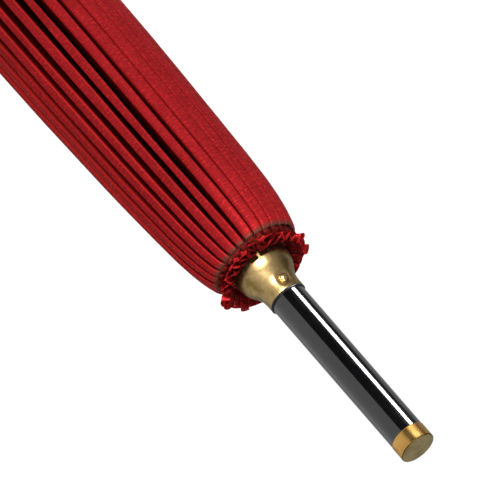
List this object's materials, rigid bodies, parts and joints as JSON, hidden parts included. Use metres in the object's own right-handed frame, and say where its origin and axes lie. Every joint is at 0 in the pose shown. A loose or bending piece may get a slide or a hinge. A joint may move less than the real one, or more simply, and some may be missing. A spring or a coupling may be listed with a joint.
{
  "type": "oil paper umbrella",
  "caption": "Closed straight parasol with pleated red canopy on folding ribs, gathered rosette under a bell-shaped brass cap, black round shaft with brass tip, and a straight grip.",
  "frame": {"origin": "on the shaft's axis, at the middle of the grip", "axes": "+Z along the shaft towards the ferrule, +X through rib 01 and the runner catch, ribs counted counter-clockwise seen from +Z"},
  "size_m": [0.0598, 0.0602, 0.721],
  "materials": {
    "black_lacquer": "black gloss lacquer over wood",
    "black_lacquer_grip": "black gloss lacquer over wood",
    "polished_brass": "bright golden brass, lightly worn",
    "antique_brass": "aged satin brass",
    "steel": "plain drawn wire",
    "black_plastic": "matte black",
    "hub_plastic": "matte black",
    "black_rubber": "matte black",
    "bamboo": "split bamboo, oiled",
    "red_cloth": "deep red, silky, faintly slubbed"
  },
  "bodies": {
    "frame": {"shaft_rod": "black_lacquer", "ferrule_cap": "polished_brass", "catch_pin": "steel", "stop_ring": "black_plastic", "grip": "black_lacquer_grip", "grip_end_cap": "antique_brass", "grip_collar": "antique_brass", "top_hub": "hub_plastic", "hub_wire": "steel", "hub_pin": "steel", "bell_cap": "antique_brass", "bell_screw": "antique_brass", "sealing_ring": "black_rubber", "rosette": "red_cloth"},
    "catch": {"catch": "steel"},
    "runner": {"runner": "hub_plastic", "runner_ring": "antique_brass", "runner_wire": "steel"},
    "rib_01": {"rib_01": "bamboo"},
    "stretcher_01": {"stretcher_01": "bamboo"},
    "gore_01": {"gore_01": "red_cloth"},
    "rib_02": {"rib_02": "bamboo"},
    "stretcher_02": {"stretcher_02": "bamboo"},
    "gore_02": {"gore_02": "red_cloth"},
    "rib_03": {"rib_03": "bamboo"},
    "stretcher_03": {"stretcher_03": "bamboo"},
    "gore_03": {"gore_03": "red_cloth"},
    "rib_04": {"rib_04": "bamboo"},
    "stretcher_04": {"stretcher_04": "bamboo"},
    "gore_04": {"gore_04": "red_cloth"},
    "rib_05": {"rib_05": "bamboo"},
    "stretcher_05": {"stretcher_05": "bamboo"},
    "gore_05": {"gore_05": "red_cloth"},
    "rib_06": {"rib_06": "bamboo"},
    "stretcher_06": {"stretcher_06": "bamboo"},
    "gore_06": {"gore_06": "red_cloth"},
    "rib_07": {"rib_07": "bamboo"},
    "stretcher_07": {"stretcher_07": "bamboo"},
    "gore_07": {"gore_07": "red_cloth"},
    "rib_08": {"rib_08": "bamboo"},
    "stretcher_08": {"stretcher_08": "bamboo"},
    "gore_08": {"gore_08": "red_cloth"},
    "rib_09": {"rib_09": "bamboo"},
    "stretcher_09": {"stretcher_09": "bamboo"},
    "gore_09": {"gore_09": "red_cloth"},
    "rib_10": {"rib_10": "bamboo"},
    "stretcher_10": {"stretcher_10": "bamboo"},
    "gore_10": {"gore_10": "red_cloth"},
    "rib_11": {"rib_11": "bamboo"},
    "stretcher_11": {"stretcher_11": "bamboo"},
    "gore_11": {"gore_11": "red_cloth"},
    "rib_12": {"rib_12": "bamboo"},
    "stretcher_12": {"stretcher_12": "bamboo"},
    "gore_12": {"gore_12": "red_cloth"},
    "rib_13": {"rib_13": "bamboo"},
    "stretcher_13": {"stretcher_13": "bamboo"},
    "gore_13": {"gore_13": "red_cloth"},
    "rib_14": {"rib_14": "bamboo"},
    "stretcher_14": {"stretcher_14": "bamboo"},
    "gore_14": {"gore_14": "red_cloth"}
  },
  "joints": [
    {"name": "canopy_opening", "type": "hinge", "parent": "frame", "child": "rib_01", "pos_m": [0.015, 0, 0.525], "axis": [0, -1, 0], "range_deg": [0, 70]},
    {"name": "stretcher_01_pivot", "type": "hinge", "parent": "rib_01", "child": "stretcher_01", "pos_m": [0.022, 0, 0.36015], "axis": [0, 1, 0], "range_deg": [0, 141]},
    {"name": "gore_01_fold", "type": "hinge", "parent": "rib_01", "child": "gore_01", "pos_m": [0.015, 0.00342, 0.525], "axis": [0.8052, 0.1838, -0.5638], "range_deg": [0, 29.63]},
    {"name": "rib_02_hinge", "type": "hinge", "parent": "frame", "child": "rib_02", "pos_m": [0.01351, 0.00651, 0.525], "axis": [0.4339, -0.901, 0], "range_deg": [0, 70.5]},
    {"name": "stretcher_02_pivot", "type": "hinge", "parent": "rib_02", "child": "stretcher_02", "pos_m": [0.01982, 0.00954, 0.36015], "axis": [-0.4339, 0.901, 0], "range_deg": [0, 141]},
    {"name": "gore_02_fold", "type": "hinge", "parent": "rib_02", "child": "gore_02", "pos_m": [0.01203, 0.00959, 0.525], "axis": [0.6457, 0.5149, -0.5638], "range_deg": [0, 29.63]},
    {"name": "rib_03_hinge", "type": "hinge", "parent": "frame", "child": "rib_03", "pos_m": [0.00935, 0.01173, 0.525], "axis": [0.7818, -0.6235, 0], "range_deg": [0, 70.5]},
    {"name": "stretcher_03_pivot", "type": "hinge", "parent": "rib_03", "child": "stretcher_03", "pos_m": [0.01372, 0.0172, 0.36015], "axis": [-0.7818, 0.6235, 0], "range_deg": [0, 141]},
    {"name": "gore_03_fold", "type": "hinge", "parent": "rib_03", "child": "gore_03", "pos_m": [0.00668, 0.01386, 0.525], "axis": [0.3583, 0.7441, -0.5638], "range_deg": [0, 29.63]},
    {"name": "rib_04_hinge", "type": "hinge", "parent": "frame", "child": "rib_04", "pos_m": [0.00334, 0.01462, 0.525], "axis": [0.9749, -0.2225, 0], "range_deg": [0, 70.5]},
    {"name": "stretcher_04_pivot", "type": "hinge", "parent": "rib_04", "child": "stretcher_04", "pos_m": [0.0049, 0.02145, 0.36015], "axis": [-0.9749, 0.2225, 0], "range_deg": [0, 141]},
    {"name": "gore_04_fold", "type": "hinge", "parent": "rib_04", "child": "gore_04", "pos_m": [0, 0.01539, 0.525], "axis": [0, 0.8259, -0.5638], "range_deg": [0, 29.63]},
    {"name": "rib_05_hinge", "type": "hinge", "parent": "frame", "child": "rib_05", "pos_m": [-0.00334, 0.01462, 0.525], "axis": [0.9749, 0.2225, 0], "range_deg": [0, 70.5]},
    {"name": "stretcher_05_pivot", "type": "hinge", "parent": "rib_05", "child": "stretcher_05", "pos_m": [-0.0049, 0.02145, 0.36015], "axis": [-0.9749, -0.2225, 0], "range_deg": [0, 141]},
    {"name": "gore_05_fold", "type": "hinge", "parent": "rib_05", "child": "gore_05", "pos_m": [-0.00668, 0.01386, 0.525], "axis": [-0.3583, 0.7441, -0.5638], "range_deg": [0, 29.63]},
    {"name": "rib_06_hinge", "type": "hinge", "parent": "frame", "child": "rib_06", "pos_m": [-0.00935, 0.01173, 0.525], "axis": [0.7818, 0.6235, 0], "range_deg": [0, 70.5]},
    {"name": "stretcher_06_pivot", "type": "hinge", "parent": "rib_06", "child": "stretcher_06", "pos_m": [-0.01372, 0.0172, 0.36015], "axis": [-0.7818, -0.6235, 0], "range_deg": [0, 141]},
    {"name": "gore_06_fold", "type": "hinge", "parent": "rib_06", "child": "gore_06", "pos_m": [-0.01203, 0.00959, 0.525], "axis": [-0.6457, 0.5149, -0.5638], "range_deg": [0, 29.63]},
    {"name": "rib_07_hinge", "type": "hinge", "parent": "frame", "child": "rib_07", "pos_m": [-0.01351, 0.00651, 0.525], "axis": [0.4339, 0.901, 0], "range_deg": [0, 70.5]},
    {"name": "stretcher_07_pivot", "type": "hinge", "parent": "rib_07", "child": "stretcher_07", "pos_m": [-0.01982, 0.00954, 0.36015], "axis": [-0.4339, -0.901, 0], "range_deg": [0, 141]},
    {"name": "gore_07_fold", "type": "hinge", "parent": "rib_07", "child": "gore_07", "pos_m": [-0.015, 0.00342, 0.525], "axis": [-0.8052, 0.1838, -0.5638], "range_deg": [0, 29.63]},
    {"name": "rib_08_hinge", "type": "hinge", "parent": "frame", "child": "rib_08", "pos_m": [-0.015, 0, 0.525], "axis": [0, 1, 0], "range_deg": [0, 70.5]},
    {"name": "stretcher_08_pivot", "type": "hinge", "parent": "rib_08", "child": "stretcher_08", "pos_m": [-0.022, 0, 0.36015], "axis": [0, -1, 0], "range_deg": [0, 141]},
    {"name": "gore_08_fold", "type": "hinge", "parent": "rib_08", "child": "gore_08", "pos_m": [-0.015, -0.00342, 0.525], "axis": [-0.8052, -0.1838, -0.5638], "range_deg": [0, 29.63]},
    {"name": "rib_09_hinge", "type": "hinge", "parent": "frame", "child": "rib_09", "pos_m": [-0.01351, -0.00651, 0.525], "axis": [-0.4339, 0.901, 0], "range_deg": [0, 70.5]},
    {"name": "stretcher_09_pivot", "type": "hinge", "parent": "rib_09", "child": "stretcher_09", "pos_m": [-0.01982, -0.00954, 0.36015], "axis": [0.4339, -0.901, 0], "range_deg": [0, 141]},
    {"name": "gore_09_fold", "type": "hinge", "parent": "rib_09", "child": "gore_09", "pos_m": [-0.01203, -0.00959, 0.525], "axis": [-0.6457, -0.5149, -0.5638], "range_deg": [0, 29.63]},
    {"name": "rib_10_hinge", "type": "hinge", "parent": "frame", "child": "rib_10", "pos_m": [-0.00935, -0.01173, 0.525], "axis": [-0.7818, 0.6235, 0], "range_deg": [0, 70.5]},
    {"name": "stretcher_10_pivot", "type": "hinge", "parent": "rib_10", "child": "stretcher_10", "pos_m": [-0.01372, -0.0172, 0.36015], "axis": [0.7818, -0.6235, 0], "range_deg": [0, 141]},
    {"name": "gore_10_fold", "type": "hinge", "parent": "rib_10", "child": "gore_10", "pos_m": [-0.00668, -0.01386, 0.525], "axis": [-0.3583, -0.7441, -0.5638], "range_deg": [0, 29.63]},
    {"name": "rib_11_hinge", "type": "hinge", "parent": "frame", "child": "rib_11", "pos_m": [-0.00334, -0.01462, 0.525], "axis": [-0.9749, 0.2225, 0], "range_deg": [0, 70.5]},
    {"name": "stretcher_11_pivot", "type": "hinge", "parent": "rib_11", "child": "stretcher_11", "pos_m": [-0.0049, -0.02145, 0.36015], "axis": [0.9749, -0.2225, 0], "range_deg": [0, 141]},
    {"name": "gore_11_fold", "type": "hinge", "parent": "rib_11", "child": "gore_11", "pos_m": [0, -0.01539, 0.525], "axis": [0, -0.8259, -0.5638], "range_deg": [0, 29.63]},
    {"name": "rib_12_hinge", "type": "hinge", "parent": "frame", "child": "rib_12", "pos_m": [0.00334, -0.01462, 0.525], "axis": [-0.9749, -0.2225, 0], "range_deg": [0, 70.5]},
    {"name": "stretcher_12_pivot", "type": "hinge", "parent": "rib_12", "child": "stretcher_12", "pos_m": [0.0049, -0.02145, 0.36015], "axis": [0.9749, 0.2225, 0], "range_deg": [0, 141]},
    {"name": "gore_12_fold", "type": "hinge", "parent": "rib_12", "child": "gore_12", "pos_m": [0.00668, -0.01386, 0.525], "axis": [0.3583, -0.7441, -0.5638], "range_deg": [0, 29.63]},
    {"name": "rib_13_hinge", "type": "hinge", "parent": "frame", "child": "rib_13", "pos_m": [0.00935, -0.01173, 0.525], "axis": [-0.7818, -0.6235, 0], "range_deg": [0, 70.5]},
    {"name": "stretcher_13_pivot", "type": "hinge", "parent": "rib_13", "child": "stretcher_13", "pos_m": [0.01372, -0.0172, 0.36015], "axis": [0.7818, 0.6235, 0], "range_deg": [0, 141]},
    {"name": "gore_13_fold", "type": "hinge", "parent": "rib_13", "child": "gore_13", "pos_m": [0.01203, -0.00959, 0.525], "axis": [0.6457, -0.5149, -0.5638], "range_deg": [0, 29.63]},
    {"name": "rib_14_hinge", "type": "hinge", "parent": "frame", "child": "rib_14", "pos_m": [0.01351, -0.00651, 0.525], "axis": [-0.4339, -0.901, 0], "range_deg": [0, 70.5]},
    {"name": "stretcher_14_pivot", "type": "hinge", "parent": "rib_14", "child": "stretcher_14", "pos_m": [0.01982, -0.00954, 0.36015], "axis": [0.4339, 0.901, 0], "range_deg": [0, 141]},
    {"name": "gore_14_fold", "type": "hinge", "parent": "rib_14", "child": "gore_14", "pos_m": [0.015, -0.00342, 0.525], "axis": [0.8052, -0.1838, -0.5638], "range_deg": [0, 29.63]},
    {"name": "runner_pivot", "type": "hinge", "parent": "stretcher_01", "child": "runner", "pos_m": [0.015, 0, 0.1953], "axis": [0, -1, 0], "range_deg": [0, 70.5]},
    {"name": "catch_swing", "type": "hinge", "parent": "frame", "child": "catch", "pos_m": [0.0054, 0, 0.347], "axis": [0, 1, 0], "range_deg": [0, 8], "stiffness_Nm_per_rad": 0.02}
  ],
  "couplings": [
    {"joint": "stretcher_01_pivot", "follows": "canopy_opening", "ratio": 2},
    {"joint": "gore_01_fold", "follows": "canopy_opening", "ratio": 0.41902},
    {"joint": "rib_02_hinge", "follows": "canopy_opening", "ratio": 1},
    {"joint": "stretcher_02_pivot", "follows": "canopy_opening", "ratio": 2},
    {"joint": "gore_02_fold", "follows": "canopy_opening", "ratio": 0.41902},
    {"joint": "rib_03_hinge", "follows": "canopy_opening", "ratio": 1},
    {"joint": "stretcher_03_pivot", "follows": "canopy_opening", "ratio": 2},
    {"joint": "gore_03_fold", "follows": "canopy_opening", "ratio": 0.41902},
    {"joint": "rib_04_hinge", "follows": "canopy_opening", "ratio": 1},
    {"joint": "stretcher_04_pivot", "follows": "canopy_opening", "ratio": 2},
    {"joint": "gore_04_fold", "follows": "canopy_opening", "ratio": 0.41902},
    {"joint": "rib_05_hinge", "follows": "canopy_opening", "ratio": 1},
    {"joint": "stretcher_05_pivot", "follows": "canopy_opening", "ratio": 2},
    {"joint": "gore_05_fold", "follows": "canopy_opening", "ratio": 0.41902},
    {"joint": "rib_06_hinge", "follows": "canopy_opening", "ratio": 1},
    {"joint": "stretcher_06_pivot", "follows": "canopy_opening", "ratio": 2},
    {"joint": "gore_06_fold", "follows": "canopy_opening", "ratio": 0.41902},
    {"joint": "rib_07_hinge", "follows": "canopy_opening", "ratio": 1},
    {"joint": "stretcher_07_pivot", "follows": "canopy_opening", "ratio": 2},
    {"joint": "gore_07_fold", "follows": "canopy_opening", "ratio": 0.41902},
    {"joint": "rib_08_hinge", "follows": "canopy_opening", "ratio": 1},
    {"joint": "stretcher_08_pivot", "follows": "canopy_opening", "ratio": 2},
    {"joint": "gore_08_fold", "follows": "canopy_opening", "ratio": 0.41902},
    {"joint": "rib_09_hinge", "follows": "canopy_opening", "ratio": 1},
    {"joint": "stretcher_09_pivot", "follows": "canopy_opening", "ratio": 2},
    {"joint": "gore_09_fold", "follows": "canopy_opening", "ratio": 0.41902},
    {"joint": "rib_10_hinge", "follows": "canopy_opening", "ratio": 1},
    {"joint": "stretcher_10_pivot", "follows": "canopy_opening", "ratio": 2},
    {"joint": "gore_10_fold", "follows": "canopy_opening", "ratio": 0.41902},
    {"joint": "rib_11_hinge", "follows": "canopy_opening", "ratio": 1},
    {"joint": "stretcher_11_pivot", "follows": "canopy_opening", "ratio": 2},
    {"joint": "gore_11_fold", "follows": "canopy_opening", "ratio": 0.41902},
    {"joint": "rib_12_hinge", "follows": "canopy_opening", "ratio": 1},
    {"joint": "stretcher_12_pivot", "follows": "canopy_opening", "ratio": 2},
    {"joint": "gore_12_fold", "follows": "canopy_opening", "ratio": 0.41902},
    {"joint": "rib_13_hinge", "follows": "canopy_opening", "ratio": 1},
    {"joint": "stretcher_13_pivot", "follows": "canopy_opening", "ratio": 2},
    {"joint": "gore_13_fold", "follows": "canopy_opening", "ratio": 0.41902},
    {"joint": "rib_14_hinge", "follows": "canopy_opening", "ratio": 1},
    {"joint": "stretcher_14_pivot", "follows": "canopy_opening", "ratio": 2},
    {"joint": "gore_14_fold", "follows": "canopy_opening", "ratio": 0.41902},
    {"joint": "runner_pivot", "follows": "canopy_opening", "ratio": 1}
  ]
}
